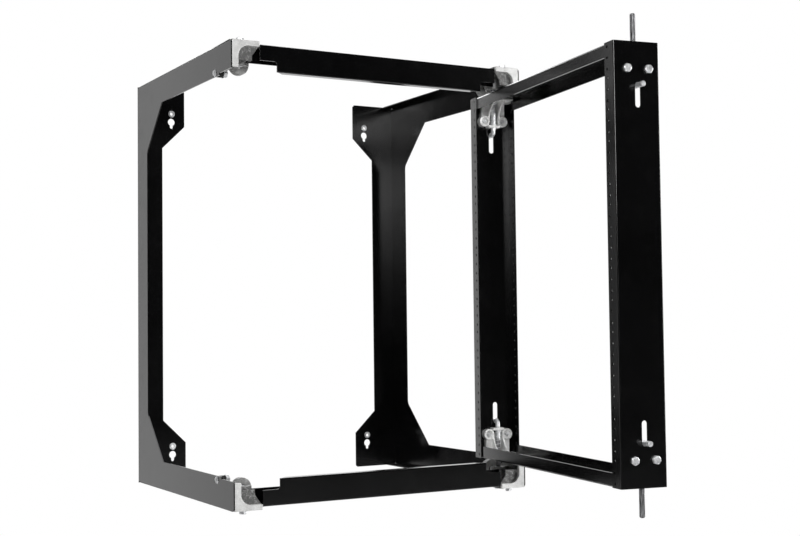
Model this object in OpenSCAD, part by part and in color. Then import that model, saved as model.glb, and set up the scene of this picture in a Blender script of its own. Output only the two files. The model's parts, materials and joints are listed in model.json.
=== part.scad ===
// Swing gate wall rack, 14 rack units, shown with its gate swung open.
// X runs to the right, Y runs into the wall and Z runs up.
// The origin is the middle of the four wall bushes, on the wall's face.

/* [Frame] */
// Depth from the wall to the front edge
frame_d = 457.2; // [380:1:620]
// Thickness of the side panels' sheet
panel_t = 2; // [1.5:0.1:3]
// Height of a side panel's arms
arm_h = 48.5; // [44:0.5:60]
// Room between an arm and the gate's end
gate_clear = 2.35; // [1:0.05:6]
// Room between a side panel's outer face and the closed gate's side
gate_side_gap = 18.15; // [12:0.05:24]
// Depth of the upright strip at the back of a side panel
strip_d = 55; // [40:1:80]
// Radius of the bends and of the rounded sheet corners
corner_r = 5; // [3:0.5:8]

/* [Gusset] */
// Depth of the slanted corner between arm and strip
gusset_d = 80; // [40:1:110]
// Height of the slanted corner between arm and strip
gusset_h = 77; // [40:1:110]
// Radius where the slant runs into the strip
gusset_r = 16; // [8:1:24]

/* [Wall flange] */
// Width of the flange that lies on the wall
wall_flange_w = 47; // [40:1:56]
// Width of the flange's pads at the corners
pad_w = 90; // [84:1:110]
// Height of a pad's straight edge
pad_h = 68; // [60:1:90]
// Height of the slant between pad and flange
pad_slant_h = 42; // [20:1:60]
// Width of the top and bottom flanges of a side panel
edge_flange_w = 22; // [15:1:26]

/* [Wall fixing] */
// Distance of the wall bushes from a side panel's outer face
bush_in = 64.8; // [58:0.1:72]
// Distance of the upper bushes below the frame's top
wall_bush_drop = 45; // [35:1:55]
// Distance of the lower bushes above the frame's underside
wall_bush_rise = 62; // [55:1:66]
// Bore of a wall bush
wall_bore_d = 6; // [5:0.1:8]
// Outer diameter of a wall bush's barrel
wall_bush_d = 9; // [8.5:0.1:11]
// Diameter of a wall bush's rim
wall_rim_d = 12.5; // [11.5:0.1:14]
// Thickness of a wall bush's rim
wall_rim_t = 1.2; // [0.8:0.1:2]
// Distance of a keyhole's wide end below its bush
keyhole_drop = 15.5; // [14:0.5:20]
// Width of a keyhole's wide end
keyhole_d = 13.4; // [11:0.1:15]
// Width of a keyhole's narrow end
keyhole_slot_w = 6; // [5:0.1:8]
// Length of a keyhole's narrow end below the wide end's centre
keyhole_slot_l = 9; // [8:0.5:14]

/* [Crossbar] */
// How far a crossbar's face ends short of an arm's inner edge
bar_short = 2.7; // [1:0.1:8]
// Distance of a crossbar's face below the frame's top
bar_drop = 4.2; // [3.9:0.1:4.8]
// Distance of a crossbar's face behind the panels' front edge
bar_setback = 2; // [1:0.5:4]
// Thickness of a crossbar's sheet
bar_t = 2; // [1.5:0.1:2.5]
// Depth of a crossbar's outer flange
bar_flange_d = 27; // [24:1:28]
// Depth of a crossbar's inner flange
bar_return_d = 14; // [8:1:18]
// Height of a crossbar's face over its end tongues
bar_tongue_h = 25; // [20:1:28]
// Length of an end tongue
bar_tongue_l = 29; // [20:1:40]
// Radius of the step between tongue and face
bar_step_r = 5; // [3:0.5:6]
// Height of a crossbar's rear lip
bar_lip_h = 26; // [15:1:28]
// Length of the flange tab and the rear lip that tuck in a corner casting
bar_tab_l = 13; // [8:1:14]
// Length of the narrow end of that tab, which the frame screw holds
bar_eye_l = 20; // [18:0.5:22]
// Depth of that narrow end
bar_eye_d = 13; // [11:0.5:13.5]

/* [Corner casting] */
// Width of a corner casting's front plate
casting_w = 48; // [46:0.5:52]
// How far a casting's front plate ends short of an arm's inner edge
casting_short = 5.5; // [4:0.5:10]
// Depth of a corner casting
casting_d = 92; // [88:1:100]
// Thickness of the front plate
casting_plate_t = 6; // [4:0.5:7]
// Thickness of the top plate
casting_top_t = 3.9; // [3:0.1:3.9]
// Thickness of the side plate
casting_side_t = 8; // [6:0.5:8.5]
// Width of the front plate's upright leg
casting_leg_w = 10.5; // [9:0.5:12]
// Height of the front plate's level leg
casting_leg_h = 8.5; // [7:0.5:10]
// Radius of the rounded cut between the legs
casting_cut_r = 17; // [12:0.5:20]
// Radius of a corner casting's outer corner
casting_r = 6; // [3:0.5:8]
// Thickness of the web behind the front plate's rounded cut
casting_web_t = 5; // [3:0.5:5]
// Width of that web at its free edge
casting_web_w = 37.5; // [34:0.5:42]
// Height of the slant that widens the web to the front plate's end
casting_slant_h = 14; // [8:0.5:18]
// How far the web ends short of an arm's inner edge
casting_web_short = 17.5; // [15:0.5:22]
// Radius of the boss that takes a pin
boss_r = 12; // [11:0.5:12.5]
// How far the boss's mouth ends short of an arm's inner edge
boss_short = 14.5; // [12:0.5:18]
// Radius of the round ear behind the boss
ear_r = 15.5; // [13:0.5:16]
// Diameter of the hole in the ear
ear_hole_d = 10; // [6:0.5:12]
// Thickness of the ear
ear_t = 11; // [8:1:14]
// Distance of the ear's centre from the panel's outer face
ear_in = 35; // [33:0.5:38]
// How far the ear ends short of an arm's inner edge
ear_short = 3.5; // [0.2:0.1:5]

/* [Corner fixing] */
// Outer diameter of the flanged bush that a pin runs in
bush_d = 11; // [10.5:0.1:12]
// Diameter of that bush's head
bush_head_d = 14; // [13:0.5:16]
// Height of that bush's head
bush_head_h = 3.8; // [2:0.1:5]
// Distance of the frame screws from the panel's outer face
frame_screw_in = 22.4; // [20:0.1:23]
// Distance of the frame screws behind the front edge
frame_screw_depth = 18.5; // [18:0.1:19]
// Diameter of a frame screw's shank
frame_screw_d = 6; // [4:0.1:6.4]
// Diameter of the flange under a frame screw's head
frame_flange_d = 13; // [11:0.1:14]
// Thickness of that flange
frame_flange_t = 1.4; // [1:0.1:2]
// Height of a frame screw's hex head
frame_head_h = 5.2; // [4:0.1:6]
// Width of that head over its flats
frame_head_af = 10; // [8:0.1:11]
// Distance of the stop bolts behind the front edge
stop_depth = 69; // [67:0.5:74]
// Distance of the stop bolts from an arm's inner edge
stop_in = 6.4; // [6:0.1:12]
// Depth of the relief along an arm's inner edge in front of the stop bolts
relief_d = 50; // [44:1:56]
// Height of that relief
relief_h = 3.2; // [2:0.1:4.5]
// Diameter of a stop bolt's shank
stop_bolt_d = 6.35; // [5:0.05:8]
// Diameter of a stop bolt's head
stop_head_d = 12.4; // [11:0.1:14]
// Height of a stop bolt's head
stop_head_h = 3; // [2:0.1:4]
// Diameter of the rubber sleeve on a stop bolt
sleeve_d = 12.6; // [10:0.1:13.5]
// Length of that rubber sleeve
sleeve_l = 11.5; // [8:0.5:12]
// Diameter of the washer under a stop bolt's nut
washer_d = 14.4; // [13:0.1:15]
// Thickness of that washer
washer_t = 1.2; // [1:0.1:2]
// Height of a stop bolt's nut
nut_h = 5.6; // [4:0.1:7]
// Width of a nut over its flats
nut_af = 11.1; // [10:0.1:13]

/* [Gate] */
// Height of one rack unit
unit_h = 44.45; // [44.4:0.01:44.5]
// Number of rack units
units = 14; // [6:1:24]
// Distance between the two rows of rail holes
hole_pitch = 465.1; // [460:0.1:466]
// Distance of a row of holes from an upright's outer face
hole_inset = 17.3; // [16.5:0.1:18]
// Bore of a rail hole, cut for a 10-32 screw
rail_hole_d = 4.2; // [3.8:0.1:5]
// First and third rail holes' distance from a rack unit's ends
rail_hole_edge = 6.35; // [6.3:0.01:6.4]
// Depth of the gate
gate_d = 72.6; // [70:0.1:76]
// Thickness of the gate's sheet
gate_t = 2; // [1.5:0.1:2.3]
// Width of an upright's flanges
rail_w = 24.8; // [23:0.1:24.9]
// Height of a gate crossbar's flanges
gate_bar_h = 20; // [16:0.5:24]
// Angle that the gate is swung open
open_angle = 80.8; // [0:0.1:180]

/* [Pins] */
// Diameter of a pin
pin_d = 7.9; // [7.5:0.05:8]
// Distance of a pin's axis from the upright's outer face
pin_inset = 11.1; // [10.8:0.1:11.4]
// Distance of a pin's axis behind the frame's front edge
pin_depth = 38.8; // [38:0.1:40]
// Distance of a pin's axis in front of the gate's rear face
pin_from_rear = 38.2; // [36:0.1:39]
// Distance of a seated pin's tip below the frame's top
pin_tip_drop = 8.85; // [8.5:0.05:14]
// Distance of a pin's handle from the gate's end
handle_drop = 62; // [60:0.5:64]
// Length of handle that stands out of the upright
handle_out = 15; // [10:0.5:16]
// Radius of the bend between pin and handle
handle_r = 7; // [6.5:0.1:7.5]
// Travel of a pin
pin_travel = 27; // [26:0.5:28]
// Radial clearance of a pin in its holes
pin_clear = 0.08; // [0.05:0.01:0.09]
// Clearance of a handle in its slot
slot_clear = 0.35; // [0.3:0.05:0.5]
// Diameter of the collar on a pin
collar_d = 13.6; // [12.5:0.1:14]
// Thickness of that collar
collar_t = 2.2; // [1.5:0.1:3]
// Wire diameter of a spring
wire_d = 1.1; // [0.8:0.1:1.2]
// Number of turns of a spring
spring_turns = 6; // [4:1:6]

/* [Gate casting] */
// Thickness of a gate casting's end plate
gate_plate_t = 6; // [5:0.5:7]
// Width of a gate casting's end plate, from web to room
gate_plate_w = 17.6; // [17:0.1:18]
// Thickness of a gate casting's guide plate
guide_t = 4.5; // [3:0.5:5]
// Distance of the guide plate from the gate's end
guide_drop = 45.5; // [44:0.5:46]
// Thickness of the back wall that lies on the upright's web
gate_back_t = 3; // [2.5:0.1:3.2]
// Radius of the round bosses that take the hex bolts
lobe_r = 9.5; // [9:0.5:11.5]
// Height of those bosses off the web
lobe_h = 12; // [10:0.5:14]
// Distance of the hex bolts to either side of the pin
lobe_out = 17; // [16:0.5:18]
// Distance of the hex bolts from the gate's end
lobe_drop = 38.5; // [38:0.5:40]
// Diameter of the round recess in such a boss
lobe_recess_d = 12.4; // [11:0.2:13.4]
// Depth of that recess
lobe_recess_h = 4; // [2:0.5:6]
// Thickness of the curved ribs beside a pin
rib_t = 3; // [2:0.5:4]
// Width of a curved rib at the guide plate
rib_low_w = 9; // [8:0.5:12]
// Radius of a curved rib's free edge
rib_curve_r = 41; // [36:0.5:50]
// Width of the posts between the bosses and the end plate
post_w = 10; // [8:0.5:11]
// Height of those posts off the web
post_h = 9; // [7:0.5:10]
// Distance of the ribs' inner faces from the pin's axis
rib_out = 7.6; // [7.2:0.1:8]
// Length of the tongue under a gate crossbar
tongue_l = 22; // [16:1:26]
// Thickness of that tongue
tongue_t = 3.2; // [2.5:0.1:4]
// Diameter of a hex bolt's shank
hex_d = 6.35; // [5:0.05:7]
// Width of a hex bolt's head over its flats
hex_af = 11.1; // [10:0.1:12]
// Height of a hex bolt's head
hex_h = 4.2; // [3.5:0.1:5]
// Diameter of a screw's head
screw_head_d = 8; // [6:0.1:9]
// Height of a screw's head
screw_head_h = 1.8; // [1:0.1:2.5]
// Diameter of a screw's shank
screw_d = 4.2; // [3:0.1:5]

/* [Hidden] */

// Faces of a full circle, of a small fillet and of a spring's wire
$fn = 48;
fillet_fn = 32;
wire_fn = 6;
turn_fn = 14;

// How far a cut runs past the faces that it opens
overrun = corner_r / 5;

// The gate's size, and the frame around it
gate_h = units * unit_h;
gate_w = hole_pitch + 2 * hole_inset;
gate_gap = arm_h + gate_clear;
frame_h = gate_h + 2 * gate_gap;
frame_w = gate_w + 2 * gate_side_gap;

// Where the frame ends, and where the gate lies when it is closed
wall_pitch_x = frame_w - 2 * bush_in;
wall_pitch_z = frame_h - wall_bush_drop - wall_bush_rise;
frame_top = wall_pitch_z / 2 + wall_bush_drop;
frame_front = -frame_d;
pin_pitch = gate_w - 2 * pin_inset;
pin_in = (frame_w - pin_pitch) / 2;
gate_rear = frame_front + pin_depth + pin_from_rear;
bush_low = wall_pitch_z + wall_bush_drop;

// Places that follow an arm's inner edge
bar_h = arm_h - bar_drop - bar_short;
casting_h = arm_h - casting_short;
casting_web_h = arm_h - casting_web_short;
boss_drop = arm_h - boss_short;
ear_drop = arm_h - ear_r - ear_short;
stop_drop = arm_h - stop_in;
pin_out = gate_gap - pin_tip_drop;

// What fits between the frame's pieces
seat_clear = corner_r / 50;
bore_r = pin_d / 2 + pin_clear;
bush_roof = bush_head_h / 2;
bar_end = casting_w + panel_t / 2;

// Where the spring of a pin starts and ends
collar_drop = gate_plate_t + seat_clear;
spring_top = collar_drop + collar_t;
spring_l = guide_drop - spring_top;
spring_r = (pin_d + collar_d) / 4;

// Colours of the finishes
black_coat = [0.12, 0.12, 0.13];
cast_grey = [0.74, 0.74, 0.73];
zinc = [0.82, 0.83, 0.85];
black_rubber = [0.06, 0.06, 0.06];

// Puts a piece in one of the frame's four corners.
// Its own X then runs inward, its Y back from the front edge and its Z runs outward past the end.
module at_corner(side, level) {
    end_z = level > 0 ? frame_top : frame_top - frame_h;
    translate([side * frame_w / 2, frame_front, end_z])
        mirror([side > 0 ? 1 : 0, 0, 0])
            mirror([0, 0, level < 0 ? 1 : 0])
                children();
}

// Repeats a piece in all four corners of the frame
module in_corners() {
    for (side = [-1, 1], level = [-1, 1])
        at_corner(side, level) children();
}

// Swings what is drawn in the closed gate's place to the open angle
module swung() {
    axis = [pin_pitch / 2, frame_front + pin_depth, 0];
    translate(axis) rotate([0, 0, open_angle]) translate(-axis) children();
}

// Puts a piece in one of the gate's four corners.
// Its own X then runs inward, its Y back from the gate's rear face and its Z runs past the end.
module at_gate_corner(side, level) {
    end_z = level > 0 ? frame_top - gate_gap : frame_top - gate_gap - gate_h;
    translate([side * gate_w / 2, gate_rear, end_z])
        mirror([side > 0 ? 1 : 0, 0, 0])
            mirror([0, 0, level < 0 ? 1 : 0])
                children();
}

// Round bar along X, from x to x + l
module bar_x(d, l) {
    rotate([0, 90, 0]) cylinder(d = d, h = l);
}

// Round bar along Y, from y to y + l
module bar_y(d, l) {
    rotate([-90, 0, 0]) cylinder(d = d, h = l);
}

// Plain hexagon prism along X
module hex_x(af, l) {
    rotate([0, 90, 0]) cylinder(d = af / cos(30), h = l, $fn = 6);
}

// Outline of a side panel: arms, gussets and rear strip, seen from outside
module panel_outline() {
    inner_d = frame_d - strip_d;
    offset_d = inner_d - gusset_d;
    difference() {
        translate([0, -frame_h]) square([frame_d, frame_h]);
        // The open middle, with slanted corners to the rear
        polygon([
            [-overrun, -arm_h],
            [offset_d, -arm_h],
            [inner_d, -arm_h - gusset_h],
            [inner_d, arm_h + gusset_h - frame_h],
            [offset_d, arm_h - frame_h],
            [-overrun, arm_h - frame_h]
        ]);
        // Rounded front corners
        for (level = [0, 1])
            translate([0, -level * frame_h])
                mirror([0, level])
                    difference() {
                        translate([-overrun, -casting_r]) square(casting_r + overrun);
                        translate([casting_r, -casting_r]) circle(casting_r);
                    }
    }
    // Fillets where the slants run into the strip
    slant = atan2(gusset_d, gusset_h);
    reach = gusset_r * tan(slant / 2);
    for (level = [0, 1])
        translate([0, -level * frame_h])
            mirror([0, level])
                translate([inner_d, -arm_h - gusset_h])
                    difference() {
                        polygon([
                            [0, -reach],
                            [-reach * sin(slant), reach * cos(slant)],
                            [overrun, reach],
                            [overrun, -reach]
                        ]);
                        translate([-gusset_r, -reach]) circle(gusset_r + seat_clear / 2);
                    }
}

// Outline of the flange that lies on the wall, seen from the front
module wall_flange_outline() {
    slant_end = pad_h + pad_slant_h;
    difference() {
        polygon([
            [0, 0],
            [pad_w, 0],
            [pad_w, -pad_h],
            [wall_flange_w, -slant_end],
            [wall_flange_w, slant_end - frame_h],
            [pad_w, pad_h - frame_h],
            [pad_w, -frame_h],
            [0, -frame_h]
        ]);
        for (drop = [wall_bush_drop, bush_low]) {
            translate([bush_in, -drop]) circle(d = wall_bush_d);
            translate([bush_in, -drop - keyhole_drop]) {
                circle(d = keyhole_d);
                translate([0, -keyhole_slot_l]) circle(d = keyhole_slot_w);
                translate([-keyhole_slot_w / 2, -keyhole_slot_l])
                    square([keyhole_slot_w, keyhole_slot_l]);
            }
        }
        // Rounded pad corners
        for (level = [0, 1])
            translate([pad_w, -level * frame_h])
                mirror([0, level])
                    difference() {
                        translate([-corner_r, -corner_r]) square(corner_r + overrun);
                        translate([-corner_r, -corner_r]) circle(corner_r);
                    }
    }
}

// One bent sheet: side, wall flange, and narrow flanges along the top and bottom
module side_panel(side) {
    flange_start = casting_d + seat_clear;
    at_corner(side, 1) {
        difference() {
            union() {
                // Side sheet
                translate([panel_t, 0, 0]) rotate([90, 0, -90])
                    mirror([1, 0, 0]) linear_extrude(panel_t) panel_outline();
                // Flange on the wall
                translate([0, frame_d, 0]) rotate([90, 0, 0])
                    linear_extrude(panel_t) wall_flange_outline();
                // Top and bottom flanges
                for (level = [0, 1])
                    translate([0, 0, -level * frame_h]) mirror([0, 0, level])
                        edge_flange(flange_start);
            }
            // Rounded outside of the bend between side and wall flange
            translate([0, frame_d, -frame_h - overrun]) bend_cut(frame_h + 2 * overrun);
            // Relief slot at the bend's ends, and holes for the stop bolts
            for (drop = [0, frame_h]) {
                translate([-overrun, frame_d - panel_t - corner_r, -drop - corner_r / 2])
                    cube([panel_t + corner_r + overrun, corner_r, corner_r]);
            }
            for (drop = [stop_drop, frame_h - stop_drop])
                translate([-overrun, stop_depth, -drop])
                    bar_x(stop_bolt_d + 2 * seat_clear, panel_t + 2 * overrun);
            // Relief of the arms' inner edges in front of the stop bolts
            for (drop = [arm_h, frame_h - arm_h + relief_h])
                translate([-overrun, -overrun, -drop - (drop == arm_h ? overrun : 0)])
                    cube([panel_t + 2 * overrun, relief_d + overrun, relief_h + overrun]);
        }
    }
}

// Narrow flange bent inward along an arm's edge, with a slanted front end
module edge_flange(start) {
    translate([0, 0, -panel_t])
        linear_extrude(panel_t)
            polygon([
                [0, start],
                [panel_t, start],
                [edge_flange_w, start + edge_flange_w],
                [edge_flange_w, frame_d - panel_t - corner_r],
                [0, frame_d - panel_t - corner_r]
            ]);
}

// What a bend's rounded outside takes off a square edge along Z
module bend_cut(length) {
    difference() {
        translate([-overrun, -panel_t, 0]) cube([panel_t + overrun, panel_t + overrun, length]);
        translate([panel_t, -panel_t, -overrun]) cylinder(r = panel_t, h = length + 2 * overrun);
    }
}

// Face of a crossbar, with a stepped tongue at either end
module bar_face_outline() {
    half = frame_w / 2;
    step = bar_end + bar_tongue_l;
    difference() {
        translate([bar_end - half, -bar_drop - bar_h]) square([frame_w - 2 * bar_end, bar_h]);
        for (side = [0, 1])
            mirror([side, 0])
                translate([-half, 0]) {
                    translate([bar_end - overrun, -bar_drop - bar_h - overrun])
                        square([bar_tongue_l - bar_step_r + overrun, bar_h - bar_tongue_h + overrun]);
                    translate([step - bar_step_r, -bar_drop - bar_h - overrun])
                        square([bar_step_r, bar_h - bar_tongue_h - bar_step_r + overrun]);
                    translate([step - bar_step_r, -bar_drop - bar_tongue_h - bar_step_r])
                        circle(bar_step_r);
                    translate([step - 2 * bar_step_r, -bar_drop - bar_tongue_h - bar_step_r])
                        square([bar_step_r, bar_step_r]);
                }
    }
}

// Crossbar of the frame: face, outer flange with tabs, rear lip and short inner flange
module frame_crossbar(level) {
    face_y = frame_front + bar_setback;
    end_z = level > 0 ? frame_top : frame_top - frame_h;
    face_l = frame_w - 2 * bar_end;
    full_l = face_l - 2 * bar_tongue_l;
    tab_l = face_l + 2 * bar_tab_l;
    tab_d = bar_flange_d - panel_t - casting_plate_t - bar_setback;
    eye_l = tab_l + 2 * bar_eye_l;
    eye_y = frame_screw_depth - bar_setback - bar_eye_d / 2;
    translate([0, face_y, end_z]) mirror([0, 0, level < 0 ? 1 : 0])
        difference() {
            union() {
                rotate([90, 0, 0]) translate([0, 0, -bar_t]) linear_extrude(bar_t) bar_face_outline();
                translate([-face_l / 2, 0, -bar_drop - bar_t]) cube([face_l, bar_flange_d, bar_t]);
                // Tabs that tuck in under the castings' top plates
                translate([-tab_l / 2, bar_flange_d - tab_d, -bar_drop - bar_t])
                    cube([tab_l, tab_d, bar_t]);
                translate([-tab_l / 2, bar_flange_d - bar_t, -bar_drop - bar_lip_h])
                    cube([tab_l, bar_t, bar_lip_h]);
                // Inner flange with slanted ends
                translate([0, 0, -bar_drop - bar_h]) linear_extrude(bar_t)
                    polygon([
                        [-full_l / 2, 0],
                        [full_l / 2, 0],
                        [full_l / 2 - bar_return_d, bar_return_d],
                        [bar_return_d - full_l / 2, bar_return_d]
                    ]);
                // Narrow ends of the tabs, for the frame screws
                translate([-eye_l / 2, eye_y, -bar_drop - bar_t]) cube([eye_l, bar_eye_d, bar_t]);
            }
            // Rounded outsides of the two long front bends
            for (z = [-bar_drop, -bar_drop - bar_h])
                translate([-frame_w / 2, 0, z])
                    mirror([0, 0, z < -bar_h ? 1 : 0])
                        long_bend_cut();
            for (side = [-1, 1])
                translate([side * (frame_w / 2 - frame_screw_in), frame_screw_depth - bar_setback, -bar_h])
                    cylinder(d = frame_screw_d + 2 * seat_clear, h = bar_h);
        }
}

// What the rounded outside of a long front bend takes off a square edge along X
module long_bend_cut() {
    difference() {
        translate([0, -overrun, -bar_t]) cube([frame_w, bar_t + overrun, bar_t + overrun]);
        translate([-overrun, bar_t, -bar_t]) bar_x(2 * bar_t, frame_w + 2 * overrun);
    }
}

// Depth of the screw that holds a crossbar's tab, behind the front edge

// Front plate of a corner casting: an L with a rounded cut between its legs
module casting_plate_outline() {
    difference() {
        translate([panel_t, -casting_h]) square([casting_w - panel_t, casting_h]);
        difference() {
            translate([panel_t + casting_leg_w, -casting_h - overrun])
                square([casting_w, casting_h - casting_leg_h + overrun]);
            translate([panel_t + casting_leg_w, -casting_leg_h - casting_cut_r])
                square(casting_cut_r);
        }
        translate([panel_t + casting_leg_w + casting_cut_r, -casting_leg_h - casting_cut_r])
            circle(casting_cut_r);
        difference() {
            translate([panel_t - overrun, -casting_r]) square(casting_r + overrun);
            translate([panel_t + casting_r, -casting_r]) circle(casting_r);
        }
    }
}

// Corner casting of the frame, drawn for the upper left corner
module corner_casting(side, level) {
    ear_y = pin_depth + boss_r + seat_clear;
    web_rear = casting_plate_t + casting_web_t;
    at_corner(side, level) difference() {
        union() {
            translate([0, casting_plate_t, 0]) rotate([90, 0, 0])
                linear_extrude(casting_plate_t) casting_plate_outline();
            // Top plate, narrower behind the ear
            translate([panel_t, 0, -casting_top_t]) linear_extrude(casting_top_t)
                casting_top_outline();
            // Side plate on the panel's inner face
            translate([panel_t, casting_plate_t - overrun, 0]) rotate([90, 0, 90])
                linear_extrude(casting_side_t) casting_side_outline();
            // Boss for the pin's bush, with a web to the inner end
            translate([pin_in, pin_depth, -boss_drop]) cylinder(r = boss_r, h = boss_drop - overrun);
            translate([panel_t, pin_depth - casting_side_t / 2, -boss_drop])
                cube([pin_in, casting_side_t, boss_drop - overrun]);
            translate([pin_in, pin_depth - casting_side_t / 2, 0]) rotate([90, 0, 0])
                mirror([0, 0, 1]) linear_extrude(casting_side_t) casting_web_outline();
            // Web behind the rounded cut, and a rib from it to the boss
            translate([panel_t, casting_plate_t + casting_web_t, 0]) rotate([90, 0, 0])
                linear_extrude(casting_web_t + overrun) casting_front_web_outline();
            translate([pin_in - rib_t / 2, casting_plate_t, -casting_web_h])
                cube([rib_t, pin_depth - casting_plate_t, casting_web_h - bar_drop - bar_t - seat_clear]);
            // Round ear behind the boss, on a neck from the top plate
            translate([ear_in, ear_y, -ear_drop]) bar_y(2 * ear_r, ear_t);
            translate([ear_in - ear_r, ear_y, -ear_drop]) cube([2 * ear_r, ear_t, ear_drop - overrun]);
            // Rib between boss and ear
            translate([pin_in - rib_t, pin_depth, -boss_drop])
                cube([2 * rib_t, boss_r + ear_t, boss_drop - overrun]);
        }
        translate([pin_in, pin_depth, -boss_drop - overrun])
            cylinder(d = bush_d, h = boss_drop + 2 * overrun);
        translate([ear_in, ear_y - overrun, -ear_drop]) bar_y(ear_hole_d, ear_t + 2 * overrun);
        translate([frame_screw_in, frame_screw_depth, -casting_leg_h])
            cylinder(d = frame_screw_d, h = casting_leg_h + overrun);
        // Room for the crossbar's tab under the top plate
        translate([bar_end - bar_tab_l - seat_clear, web_rear, -boss_drop])
            cube([bar_tab_l + overrun, tab_room() - web_rear, boss_drop - bar_drop + seat_clear]);
    }
}

// Depth of the room for a crossbar's tab, behind the front edge
function tab_room() = bar_setback + bar_flange_d + seat_clear;

// Web behind the rounded cut, which widens to the front plate's inner end
module casting_front_web_outline() {
    web_w = casting_web_w - panel_t;
    polygon([
        [0, -overrun],
        [casting_w - panel_t, -overrun],
        [casting_w - panel_t, -casting_leg_h],
        [web_w, -casting_leg_h - casting_slant_h],
        [web_w, -casting_web_h],
        [0, -casting_web_h]
    ]);
}

// Top plate seen from above: full width at the front, narrow over the stop bolt
module casting_top_outline() {
    narrow_w = casting_side_t + bush_head_d / 2;
    wide_d = pin_depth + boss_r + ear_t + seat_clear;
    difference() {
        polygon([
            [0, 0],
            [casting_w - panel_t, 0],
            [casting_w - panel_t, wide_d],
            [narrow_w, casting_d],
            [0, casting_d]
        ]);
        translate([narrow_w - casting_r, casting_d - casting_r]) difference() {
            square(2 * casting_r);
            circle(casting_r);
        }
    }
}

// Side plate seen from the side: deep at the front, slanted over the stop bolt
module casting_side_outline() {
    end = casting_d - casting_plate_t + overrun;
    low_end = pin_depth + boss_r - casting_plate_t;
    polygon([[0, 0], [0, -casting_h], [low_end, -casting_h], [end, -casting_top_t - casting_r], [end, 0]]);
}

// Web from the boss to the casting's inner end, with a slanted lower edge
module casting_web_outline() {
    polygon([
        [0, -overrun],
        [casting_w - pin_in, -overrun],
        [casting_w - pin_in, -casting_leg_h],
        [boss_r + rib_t, -boss_drop * 0.7],
        [boss_r + rib_t, -boss_drop],
        [0, -boss_drop]
    ]);
}

// Flanged bushes in which the four pins run, with closed heads on the outside
module pin_bushes() {
    color(zinc) in_corners()
        translate([pin_in, pin_depth, 0]) difference() {
            union() {
                translate([0, 0, -boss_drop]) cylinder(d = bush_d, h = boss_drop + overrun);
                translate([0, 0, 0]) cylinder(d = bush_head_d, h = bush_head_h);
            }
            translate([0, 0, -boss_drop - overrun])
                cylinder(r = bore_r, h = boss_drop + overrun + bush_roof);
            // Lead-in for the pin
            translate([0, 0, -boss_drop - seat_clear])
                cylinder(r1 = bore_r + wire_d, r2 = bore_r, h = wire_d + seat_clear);
        }
}

// Steel bushes over the keyholes, in the wall flanges
module wall_bushes() {
    color(zinc) for (side = [-1, 1], drop = [wall_bush_drop, bush_low])
        at_corner(side, 1) translate([bush_in, frame_d, -drop]) rotate([90, 0, 0]) difference() {
            union() {
                cylinder(d = wall_bush_d, h = panel_t + wall_rim_t);
                translate([0, 0, panel_t]) cylinder(d = wall_rim_d, h = wall_rim_t);
            }
            translate([0, 0, -overrun]) cylinder(d = wall_bore_d, h = panel_t + wall_rim_t + 2 * overrun);
        }
}

// Round-headed bolts through the arms, which hold the castings and the rubber stops
module stop_bolts() {
    color(zinc) in_corners()
        translate([0, stop_depth, -stop_drop]) {
            bar_x(stop_bolt_d, stop_stack() + nut_h + wire_d);
            translate([-stop_head_h, 0, 0]) intersection() {
                bar_x(stop_head_d, stop_head_h);
                translate([stop_head_h * 2.1, 0, 0]) sphere(d = stop_head_d + overrun / 2);
            }
        }
}

// Distance from a panel's outer face to a stop bolt's nut
function stop_stack() = panel_t + sleeve_l + washer_t;

// Rubber sleeves on the stop bolts
module stop_sleeves() {
    color(black_rubber) in_corners()
        translate([panel_t, stop_depth, -stop_drop]) difference() {
            bar_x(sleeve_d, sleeve_l);
            translate([-overrun, 0, 0]) bar_x(stop_bolt_d, sleeve_l + 2 * overrun);
        }
}

// Washers between sleeve and nut
module stop_washers() {
    color(zinc) in_corners()
        translate([stop_stack() - washer_t, stop_depth, -stop_drop]) difference() {
            bar_x(washer_d, washer_t);
            translate([-overrun, 0, 0]) bar_x(stop_bolt_d, washer_t + 2 * overrun);
        }
}

// Hexagon nuts on the stop bolts
module stop_nuts() {
    color(zinc) in_corners()
        translate([stop_stack(), stop_depth, -stop_drop]) difference() {
            hex_x(nut_af, nut_h);
            translate([-overrun, 0, 0]) bar_x(stop_bolt_d, nut_h + 2 * overrun);
        }
}

// Screw with a flat round head, standing on its head's underside with the shank down
module pan_screw(shank) {
    cylinder(d1 = screw_head_d, d2 = screw_head_d * 0.8, h = screw_head_h);
    translate([0, 0, -shank]) cylinder(d = screw_d, h = shank + screw_head_h / 2);
}

// Screws that hold the crossbars' tabs to the castings, put in from inside
module frame_screws() {
    shank = bar_drop + bar_t + frame_flange_t;
    color(zinc) in_corners() translate([frame_screw_in, frame_screw_depth, 0]) {
        cylinder(d = frame_flange_d, h = frame_flange_t);
        cylinder(d = frame_head_af / cos(30), h = frame_flange_t + frame_head_h, $fn = 6);
        translate([0, 0, -shank]) cylinder(d = frame_screw_d, h = shank + frame_flange_t);
    }
}

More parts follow.
